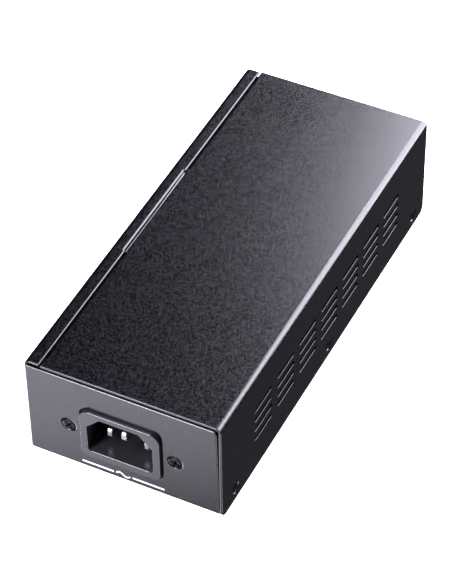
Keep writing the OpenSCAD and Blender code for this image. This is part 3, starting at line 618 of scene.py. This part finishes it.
def screws(node, axis, head, shank, outward):
    """All the screws of one node, each with a turned head, a cross recess and a thread."""
    pitch, tip, overlap = 0.5, 0.4, 0.05
    recess_share, recess_depth = 0.66, 1.2
    dice = random.Random(node)
    bodies, recesses = bmesh.new(), bmesh.new()
    for low, high in solids(node):
        middle = (low + high) / 2
        way = outward(middle)
        half = (high - low) / 2
        radius = half[(axis + 1) % 3] / MM
        length = 2 * half[axis] / MM
        sink, profile = head(radius)
        face = middle.copy()
        face[axis] += way[axis] * (half[axis] + min(sink, 0) * MM)
        place = aim(face, way) @ Matrix.Rotation(dice.uniform(0, math.pi), 4, "Z")
        lathe(bodies, profile, place)
        reach_down = length + min(sink, 0)
        thread(bodies, place, shank, -reach_down + tip, profile[-1][1] + overlap, pitch)
        cross_recess(recesses, place, recess_share * radius, -sink, recess_depth)
    meshes = []
    for work in (bodies, recesses):
        bmesh.ops.recalc_face_normals(work, faces=work.faces)
        mesh = bpy.data.meshes.new(node + "_turned")
        work.to_mesh(mesh)
        work.free()
        meshes.append(mesh)
    piece(node + "_turned", cut(*meshes), node, replaces=True)


screws("inlet_screws", 1, sunk_head, 1.45, lambda middle: Vector((0, -1, 0)))
screws("cover_screws", 0, sunk_head, 1.45, lambda middle: Vector((1, 0, 0)))
screws("pcb_screws", 2, pan_head, 1.38, lambda middle: Vector((0, 0, 1)))
screws("heatsink_screws", 0, pan_head, 1.4, lambda middle: Vector((-math.copysign(1, middle.x), 0, 0)))


# ---- printed marks ------------------------------------------------------

INK_T = 0.04 * MM


def print_marks(name, node, place, outlines):
    """Flat white marks on a face, each an outline in mm."""
    def draw(work):
        for outline in outlines:
            slab(work, outline, place, -INK_T / 2, INK_T)
    piece(name, mesh_from(name, draw), node, slot="white_plastic", finish=WHITE_INK)


def bar(x0, x1, y0, y1):
    """The outline of a rectangle."""
    return [(x0, y0), (x1, y0), (x1, y1), (x0, y1)]


def tilde(middle_x, middle_y, width, height, line):
    """The sign for alternating current."""
    steps = [i / 24 for i in range(25)]
    wave = [(middle_x + width * (t - 0.5), middle_y + height / 2 * math.sin(2 * math.pi * t))
            for t in steps]
    return [(x, y - line / 2) for x, y in wave] + [(x, y + line / 2) for x, y in reversed(wave)]


def triangle(x, y, size, way):
    """A triangle that points up or down."""
    half = size / 2
    return [(x - half, y - way * half), (x + half, y - way * half), (x, y + way * half)]


def bolt(x, y, size):
    """The sign for electric power."""
    shape = [(0.1, 1), (-0.55, -0.15), (-0.05, -0.15), (-0.2, -1), (0.55, 0.25), (0.05, 0.25)]
    return [(x + size / 2 * a, y + size / 2 * b) for a, b in shape]


def front_mark():
    """A rule, the sign for alternating current and a rule, under the mains inlet."""
    half, gap, line, level = 15.6, 3.6, 0.75, 3.3
    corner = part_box("chassis")[0]
    blade_low, blade_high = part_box("earth_blade")
    place = aim(((blade_low.x + blade_high.x) / 2, corner.y, corner.z), (0, -1, 0))
    rules = [bar(*sorted((side * gap, side * half)), level - line / 2, level + line / 2)
             for side in (-1, 1)]
    print_marks("inlet_mark", "chassis", place, [*rules, tilde(0, level, 5.4, 1.5, line)])


def rear_marks():
    """Triangles and bolts that say what goes in and comes out of the sockets."""
    above, beside, off_middle = 3.4, 2.8, 1.8
    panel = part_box("chassis")[1].y
    place = aim((0, panel, 0), (0, 1, 0))
    outlines = []
    for node, way in (("lan_jack_shield", -1), ("poe_jack_shield", 1)):
        low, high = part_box(node)
        x, z = -(low.x + high.x) / 2 / MM, high.z / MM + above
        outlines.append(triangle(x - off_middle, z, 2.4, way))
        outlines.append(bolt(x + off_middle, z, 3.4) if way > 0 else
                        bar(x + 0.6, x + 3.0, z - 0.4, z + 0.4))
    for node in ("power_led", "poe_led"):
        low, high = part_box(node)
        x, z = -high.x / MM - beside, (low.z + high.z) / 2 / MM
        outlines.append(tilde(x, z, 2.4, 0.9, 0.4) if node == "power_led" else bolt(x, z, 2.6))
    print_marks("socket_marks", "chassis", place, outlines)


front_mark()
rear_marks()


# ---- windings, capacitors and the fuse ----------------------------------

def winding(core_node, node, wire_mm):
    """Enamelled wire wound round a ring core, one helix for each run of neighbouring turns."""
    low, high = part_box(core_node)
    middle = (low + high) / 2
    size = high - low
    axis = min(range(3), key=lambda i: size[i])
    u, v = (axis + 1) % 3, (axis + 2) % 3
    outer = size[u] / 2
    inner = min(math.hypot(p.co[u] - middle[u], p.co[v] - middle[v])
                for p in NODES[core_node].data.vertices)
    wire = wire_mm * MM / 2
    half_r, half_t = (outer - inner) / 2 + wire, size[axis] / 2 + wire
    spots = sorted(math.atan2((a[v] + b[v]) / 2 - middle[v], (a[u] + b[u]) / 2 - middle[u])
                   for a, b in solids(node))
    step = min(b - a for a, b in zip(spots, spots[1:]))
    widest_step = 1.5 * step
    runs = [[spots[0]]]
    for spot in spots[1:]:
        if spot - runs[-1][-1] > widest_step:
            runs.append([])
        runs[-1].append(spot)
    if len(runs) > 1 and spots[0] + 2 * math.pi - spots[-1] < widest_step:
        runs[0] = runs.pop() + [spot + 2 * math.pi for spot in runs[0]]

    def at(angle, out, along):
        """A point at an angle round the core, this far from its axis and along it."""
        point = middle.copy()
        point[u] += out * math.cos(angle)
        point[v] += out * math.sin(angle)
        point[axis] += along
        return point

    def draw(work):
        detail, squareness = 20, 6
        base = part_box("main_pcb")[1].z
        for run in runs:
            points = []
            for i in range(detail * len(run) + 1):
                turn = 2 * math.pi * i / detail
                c, s = math.cos(turn), math.sin(turn)
                bulge = (abs(c) ** squareness + abs(s) ** squareness) ** (-1 / squareness)
                angle = run[0] + step * (i / detail - 0.5)
                points.append(at(angle, (outer + inner) / 2 + half_r * c * bulge, half_t * s * bulge))
            for end, way in ((0, -1), (-1, 1)):
                out = points[end].copy()
                out[axis] += way * (half_t + 2.5 * wire)
                foot = Vector((out.x, out.y, base))
                if axis == 2:
                    out = points[end] + 1.5 * (points[end] - middle).normalized() * wire
                    foot = Vector((out.x, out.y, base))
                knee = out.lerp(foot, 0.12)
                points = [foot, knee, out, *points] if end == 0 else [*points, out, knee, foot]
            tube(work, points, wire)
    piece(node + "_wound", mesh_from(node + "_wound", draw, 60), node, replaces=True)


winding("choke_core", "choke_windings", 1.0)
winding("output_choke_core", "output_choke_winding", 0.9)


def shell_patch(work, place, radius, middle, half_angle, low, high, lift):
    """A thin curved label on a round body, in mm and radians."""
    steps = 10
    under = radius - 0.05
    over = radius + lift
    rings = []
    for i in range(steps + 1):
        angle = middle + half_angle * (2 * i / steps - 1)
        c, s = math.cos(angle), math.sin(angle)
        rings.append([work.verts.new(place @ (MM * Vector((r * c, r * s, z))))
                      for r, z in ((under, low), (over, low), (over, high), (under, high))])
    skin(work, rings)
    for ring in (rings[0], rings[-1]):
        work.faces.new(ring)


def capacitor_cans(node):
    """Sleeved cans with a crimp groove, a scored metal top and a polarity stripe with minus signs."""
    dice = random.Random(node)
    cans = []
    for low, high in solids(node):
        place = Matrix.Translation(((low.x + high.x) / 2, (low.y + high.y) / 2, low.z))
        turned = place @ Matrix.Rotation(dice.uniform(2.0, 4.4), 4, "Z")
        cans.append((turned, (high.x - low.x) / 2 / MM, (high.z - low.z) / MM))
    lip = 1.3

    def sleeves(work):
        for place, r, h in cans:
            foot = [(r - 0.7, 0), (r - 0.15, 0.15), (r, 0.6)]
            groove = [(r, 1.3), (r - 0.4, 1.65), (r - 0.5, 1.9), (r - 0.4, 2.15), (r, 2.5)]
            shoulder = [(r, h - 1.1), (r - 0.12, h - 0.6), (r - 0.45, h - 0.18), (r - 0.9, h - 0.02)]
            rim = [(r - lip, h - 0.04), (r - lip - 0.05, h - 0.2), (r - lip - 0.05, h - 1.0)]
            inside = [(r - 1.6, h - 1.2), (r - 1.6, 0.3)]
            lathe(work, foot + groove + shoulder + rim + inside, place, 48, closed=True)

    def tops(work):
        for place, r, h in cans:
            rim = r - lip - 0.02
            lathe(work, [(0, h - 0.22), (r - 1.9, h - 0.22), (r - 1.5, h - 0.14), (rim, h - 0.16),
                         (rim, h - 0.9), (0, h - 0.9)], place, 48)

    def scores(work):
        for place, r, h in cans:
            slab(work, cross(0.72 * r, 0.16), place @ Matrix.Translation((0, 0, (h - 0.4) * MM)), 0, MM)

    def stripes(work):
        for place, r, h in cans:
            shell_patch(work, place, r, 0, 0.3, 3.2, h - 1.3, 0.03)

    def minus_signs(work):
        spacing, length, half_width = 5, 2.2, 0.315
        for place, r, h in cans:
            for i in range(int((h - spacing - 1) // spacing)):
                z = spacing * (i + 1)
                shell_patch(work, place, r, 0, half_width / r, z, z + length, 0.05)

    piece(node + "_sleeve", mesh_from(node + "_sleeve", sleeves), node, replaces=True)
    top = cut(mesh_from(node + "_top", tops), mesh_from("scores", scores))
    piece(node + "_top", top, node, slot="jack_shield", finish=BRIGHT_CAN)
    piece(node + "_stripe", mesh_from(node + "_stripe", stripes), node, slot="white_plastic",
          finish=WHITE_INK)
    piece(node + "_signs", mesh_from(node + "_signs", minus_signs), node)


capacitor_cans("bulk_capacitor")
capacitor_cans("output_capacitors")


def fuse_parts():
    """A glazed ceramic tube with two pressed metal caps."""
    low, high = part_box("fuse")
    half, r, cap = (high.y - low.y) / 2 / MM, (high.x - low.x) / 2 / MM, 5.5
    place = aim((low + high) / 2, (0, 1, 0))
    bore, end = 1.8, half - 0.3
    tube_profile = [(bore, -end), (r - 0.2, -end), (r - 0.2, end), (bore, end)]
    cap_profile = [(0, half), (r - 0.9, half), (r - 0.35, half - 0.08), (r - 0.06, half - 0.35),
                   (r, half - 0.8), (r, half - cap + 0.4), (r + 0.02, half - cap + 0.2),
                   (r - 0.02, half - cap), (r - 0.3, half - cap), (r - 0.3, half - 0.4),
                   (0, half - 0.4)]

    def ceramic(work):
        lathe(work, tube_profile, place, closed=True)

    def caps(work):
        for way in (-1, 1):
            lathe(work, [(a, way * b) for a, b in cap_profile], place)
    piece("fuse_tube", mesh_from("fuse_tube", ceramic), "fuse", replaces=True)
    piece("fuse_caps", mesh_from("fuse_caps", caps), "fuse", slot="jack_shield")


fuse_parts()


# ---- network sockets and lights -----------------------------------------

def socket_contacts(node):
    """Eight spring wires that come out of the roof and bend down towards the back."""
    radius, sag, steps = 0.2 * MM, 1.25, 10
    root, tip = Vector((0, 0.5, 0.35)) * MM, Vector((0, -0.3, 0.5)) * MM

    def draw(work):
        for low, high in solids(node):
            x = (low.x + high.x) / 2
            points = []
            for i in range(steps + 1):
                t = i / steps
                points.append(Vector((x, high.y + (low.y - high.y) * t,
                                      high.z - radius + (low.z - high.z) * t ** sag)))
            tube(work, [points[0] + root, *points, points[-1] + tip], radius)
    piece(node + "_bent", mesh_from(node + "_bent", draw, 60), node, replaces=True)


def indicator(node):
    """A round-nosed light with a flange at its back."""
    low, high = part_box(node)
    r = (high.x - low.x) / 2 / MM
    place = aim(((low.x + high.x) / 2, low.y, (low.z + high.z) / 2), (0, 1, 0))
    length = (high.y - low.y) / MM
    flange = [(0, 0), (r - 0.1, 0), (r, 0.1), (r, 0.9), (r - 0.12, 1.0)]
    angles = [math.pi / 2 * i / 8 for i in range(8)]
    nose = [(0.93 * (r * math.cos(a)), length - r + r * math.sin(a)) for a in angles]
    profile = flange + nose + [(0, length)]
    mesh = mesh_from(node + "_lens", lambda work: lathe(work, profile, place, 32))
    piece(node + "_lens", mesh, node, replaces=True)


for socket in ("lan", "poe"):
    socket_contacts(socket + "_jack_contacts")
for light in ("power_led", "poe_led"):
    indicator(light)


# ---- what else is on the board ------------------------------------------

# The nodes that stand on the board, and those of them that are round as seen from above.
ON_BOARD = ["lan_jack_shield", "poe_jack_shield", "led_holders", "ac_connector", "fuse_clips",
            "varistor", "inrush_thermistor", "x_capacitor", "y_capacitors", "choke_base",
            "bridge_rectifier", "bulk_capacitor", "primary_heatsink", "switch_transistor",
            "transformer_bobbin", "secondary_heatsink", "output_rectifier", "output_capacitors",
            "output_choke_core", "optocoupler", "pwm_controller", "pse_controller",
            "lan_magnetics", "pcb_screws", "fuse"]
ROUND = ("bulk_capacitor", "output_capacitors", "output_choke_core", "pcb_screws")
BOARD_LOW, BOARD_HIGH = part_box("main_pcb")
taken = [box for node in ON_BOARD for box in solids(node)]


def board_print():
    """White outlines round the parts, as rectangles or rings."""
    gap, line, edge = 0.45, 0.2, 0.3
    place = Matrix.Translation((0, 0, BOARD_HIGH.z))

    def rectangle(work, x0, y0, x1, y1):
        inner_y0, inner_y1 = y0 + line, y1 - line
        for side in (bar(x0, x1, y0, inner_y0), bar(x0, x1, inner_y1, y1),
                     bar(x0, x0 + line, inner_y0, inner_y1), bar(x1 - line, x1, inner_y0, inner_y1)):
            slab(work, side, place, 0, INK_T)

    def draw(work):
        for node in ON_BOARD:
            for low, high in solids(node):
                x0, y0 = low.x / MM - gap, low.y / MM - gap
                x1, y1 = high.x / MM + gap, high.y / MM + gap
                if node in ROUND:
                    r = (x1 - x0) / 2
                    ring = Matrix.Translation(((x0 + x1) / 2 * MM, (y0 + y1) / 2 * MM, BOARD_HIGH.z))
                    top = INK_T / MM
                    lathe(work, [(r - line, 0), (r, 0), (r, top), (r - line, top)], ring,
                          closed=True)
                else:
                    x0, x1 = max(x0, BOARD_LOW.x / MM + edge), min(x1, BOARD_HIGH.x / MM - edge)
                    y0, y1 = max(y0, BOARD_LOW.y / MM + edge), min(y1, BOARD_HIGH.y / MM - edge)
                    rectangle(work, x0, y0, x1, y1)
    piece("board_print", mesh_from("board_print", draw), "main_pcb", slot="white_plastic",
          finish=WHITE_INK)


def free_spots(count, size, margin, dice):
    """Places on the board where nothing stands yet, in mm; each is claimed as it is found."""
    tries, edge = 4000, 2
    room = margin * MM
    found = []
    for _ in range(tries):
        if len(found) == count:
            break
        turned = dice.random() < 0.5
        w, d = (size[1], size[0]) if turned else (size[0], size[1])
        x = round(dice.uniform(BOARD_LOW.x / MM + edge, BOARD_HIGH.x / MM - edge) * 2) / 2
        y = round(dice.uniform(BOARD_LOW.y / MM + edge, BOARD_HIGH.y / MM - edge) * 2) / 2
        low = Vector((x - w / 2, y - d / 2, 0)) * MM
        high = Vector((x + w / 2, y + d / 2, 0)) * MM
        if all(low.x - room > b.x or high.x + room < a.x or
               low.y - room > b.y or high.y + room < a.y for a, b in taken):
            taken.append((low, high))
            found.append((low, high, turned))
    return found


def chip_parts(name, count, size, slot, dice):
    """Small surface-mounted parts: a body between two plated ends."""
    spots = free_spots(count, size, 0.5, dice)
    end = 0.22
    plating = 0.04

    def blocks(work, stretches, height):
        """For each part, a block over each stretch of its length."""
        for low, high, turned in spots:
            along = 1 if turned else 0
            for t0, t1 in stretches:
                a, b = low.copy(), high.copy()
                a[along] = low[along] + (high - low)[along] * t0
                b[along] = low[along] + (high - low)[along] * t1
                a.z, b.z = BOARD_HIGH.z, BOARD_HIGH.z + height * MM
                soft_block(work, a, b, 0.05 * MM)

    def bodies(work):
        blocks(work, [(end, 1 - end)], size[2])

    def ends(work):
        blocks(work, [(0, end), (1 - end, 1)], size[2] + plating)
    piece(name, mesh_from(name, bodies), "main_pcb", slot=slot)
    piece(name + "_ends", mesh_from(name + "_ends", ends), "main_pcb", slot="steel_fastener")


def axial_parts(name, count, slot, dice, waist_share, band_rows, band_slot):
    """Resistors or diodes that lie on the board between two bent wires.

    The bands are at the given heights along a body, whose middle is a share of its ends' size.
    """
    length, r, wire, clearance = 6.3, 1.15, 0.3, 0.25
    bulb = 1.8
    waist = waist_share * r
    places = [aim(((low.x + high.x) / 2, (low.y + high.y) / 2, BOARD_HIGH.z + (r + clearance) * MM),
                  (0, 1, 0) if turned else (1, 0, 0))
              for low, high, turned in free_spots(count, (length + 3.4, 2.6, 0), 0.3, dice)]

    def bodies(work):
        end = -length / 2
        half = [(0, end), (0.55 * r, end), (0.92 * r, end + 0.25), (r, end + 0.7), (r, end + 1.3),
                (waist, end + bulb)]
        profile = half + [(a, -b) for a, b in reversed(half)]
        for place in places:
            lathe(work, profile, place, 24)

    def wires(work):
        for place in places:
            for way in (-1, 1):
                along = (place.to_3x3() @ Vector((0, 0, way))).normalized()
                start = place.translation + along * (length / 2 - 0.2) * MM
                knee = place.translation + along * (length / 2 + 1.0) * MM
                foot = knee + along * 0.35 * MM
                foot.z = BOARD_HIGH.z
                bend = knee.lerp(foot, 0.3) + along * 0.15 * MM
                tube(work, [start, knee, bend, foot], wire * MM)

    def bands(work):
        half = 0.22
        for place in places:
            for z in band_rows:
                out = r if abs(z) > bulb else waist
                lathe(work, [(out - 0.1, z - half), (out + 0.02, z - half), (out + 0.02, z + half),
                             (out - 0.1, z + half)], place, 24, closed=True)
    piece(name, mesh_from(name, bodies), "main_pcb", slot=slot)
    piece(name + "_wires", mesh_from(name + "_wires", wires), "main_pcb", slot="steel_fastener")
    piece(name + "_bands", mesh_from(name + "_bands", bands), "main_pcb", slot=band_slot)


board_print()
dice = random.Random(7)
axial_parts("axial_resistors", 4, "bobbin_plastic", dice, 0.85, (-0.9, -0.1, 0.7, 2.4),
            "live_insulation")
axial_parts("axial_diodes", 3, "package_black", dice, 1, (2.2,), "opto_white")
chip_parts("chip_resistors", 22, (2.0, 1.25, 0.5), "package_black", dice)
chip_parts("chip_capacitors", 16, (2.0, 1.25, 0.9), "ceramic", dice)

# Every CAD solid gets its node material too, whether it shows or not.
for cad_node, cad_object in NODES.items():
    cad_object.data.materials.clear()
    cad_object.data.materials.append(MATERIALS[SLOT_OF[cad_node]])


# ---- stage, lights and camera -------------------------------------------

def stage():
    """A pale floor that only the camera sees, so that the lights alone shape the black case."""
    size = 4.0
    mesh = bpy.data.meshes.new("floor")
    corners = [(-size, -size, 0), (size, -size, 0), (size, size, 0), (-size, size, 0)]
    mesh.from_pydata(corners, [], [(0, 1, 2, 3)])
    floor = bpy.data.objects.new("floor", mesh)
    scene.collection.objects.link(floor)
    white = (1, 1, 1, 1)
    pale = NodeMaterial("pale_floor", Roughness=0.9, Emission_Color=white, Emission_Strength=0.97)
    cloud = pale.noise(0.6)
    pale.color(cloud, (0.84, 0.84, 0.84), (0.88, 0.88, 0.88))
    mesh.materials.append(pale.material)
    floor.visible_glossy = False
    floor.visible_diffuse = False
    floor.visible_shadow = False


COOL = (0.885, 0.88, 1.0)
SKY = (0.92, 0.96, 1.0, 1)


def softbox(name, place, target, size, radiance, side=None):
    """A rectangular light of a given radiance, aimed at a point.

    Its width lies level, or as nearly along side as its aim allows.
    """
    light = bpy.data.lights.new(name, "AREA")
    light.shape = "RECTANGLE"
    light.size, light.size_y = size
    light.energy = radiance * math.pi * size[0] * size[1]
    light.color = COOL
    back = (Vector(place) - Vector(target)).normalized()
    if side is None:
        across = Vector((0, 0, 1)).cross(back)
    else:
        across = Vector(side) - Vector(side).project(back)
    across.normalize()
    turn = Matrix((across, back.cross(across), back)).transposed().to_4x4()
    lamp = bpy.data.objects.new(name, light)
    lamp.matrix_world = Matrix.Translation(place) @ turn
    lamp.visible_camera = False
    scene.collection.objects.link(lamp)


def surroundings():
    """A dim sky over a slightly brighter ground."""
    world = bpy.data.worlds.new("studio")
    scene.world = world
    world.use_nodes = True
    nodes, links = world.node_tree.nodes, world.node_tree.links
    background = nodes["Background"]
    background.inputs["Color"].default_value = SKY
    directions = nodes.new("ShaderNodeTexCoord").outputs["Generated"]
    split = nodes.new("ShaderNodeSeparateXYZ")
    glow = nodes.new("ShaderNodeMapRange")
    for socket, value in (("From Min", -0.2), ("From Max", 0.2), ("To Min", 0.085), ("To Max", 0.015)):
        glow.inputs[socket].default_value = value
    links.new(directions, split.inputs["Vector"])
    links.new(split.outputs["Z"], glow.inputs["Value"])
    links.new(glow.outputs["Result"], background.inputs["Strength"])


def lights():
    """A big light behind the top, a strip that draws the front edges, and low fills in front."""
    softbox("key", (0.357, 0.992, 0.481), (0, 0, 0.03), (1.37, 1.36), 17.2)
    softbox("front_bounce", (-0.111, -0.467, -0.144), (0, -0.084, 0.02), (0.45, 0.45), 3.7)
    softbox("front_top", (-0.24, -0.60, 0.45), (0, -0.084, 0.04), (0.15, 0.8), 34, side=(1, 0, 0))
    softbox("low_right", (0.386, -0.284, -0.42), (0.036, -0.084, 0.02), (0.25, 0.25), 9)
    softbox("low_left", (-0.36, -0.18, -0.41), (0.036, -0.084, 0.02), (0.25, 0.25), 7)


def camera():
    """A long lens from the right and above, level but for about one degree."""
    place = Vector((292.9, -581.6, 653.4)) * MM
    azimuth, elevation, roll = (math.radians(a) for a in (27.03, 44.33, -1.0))
    forward = Vector((-math.sin(azimuth) * math.cos(elevation),
                      math.cos(azimuth) * math.cos(elevation), -math.sin(elevation)))
    level = forward.cross(Vector((0, 0, 1))).normalized()
    upright = level.cross(forward)
    right = math.cos(roll) * level + math.sin(roll) * upright
    up = -math.sin(roll) * level + math.cos(roll) * upright
    data = bpy.data.cameras.new("camera")
    data.sensor_width = 36
    data.lens = 158.5
    data.clip_start = 0.01
    data.clip_end = 20
    made = bpy.data.objects.new("camera", data)
    made.matrix_world = Matrix.Translation(place) @ Matrix((right, up, -forward)).transposed().to_4x4()
    scene.collection.objects.link(made)
    scene.camera = made


stage()
surroundings()
lights()
camera()
scene.view_settings.view_transform = "Standard"
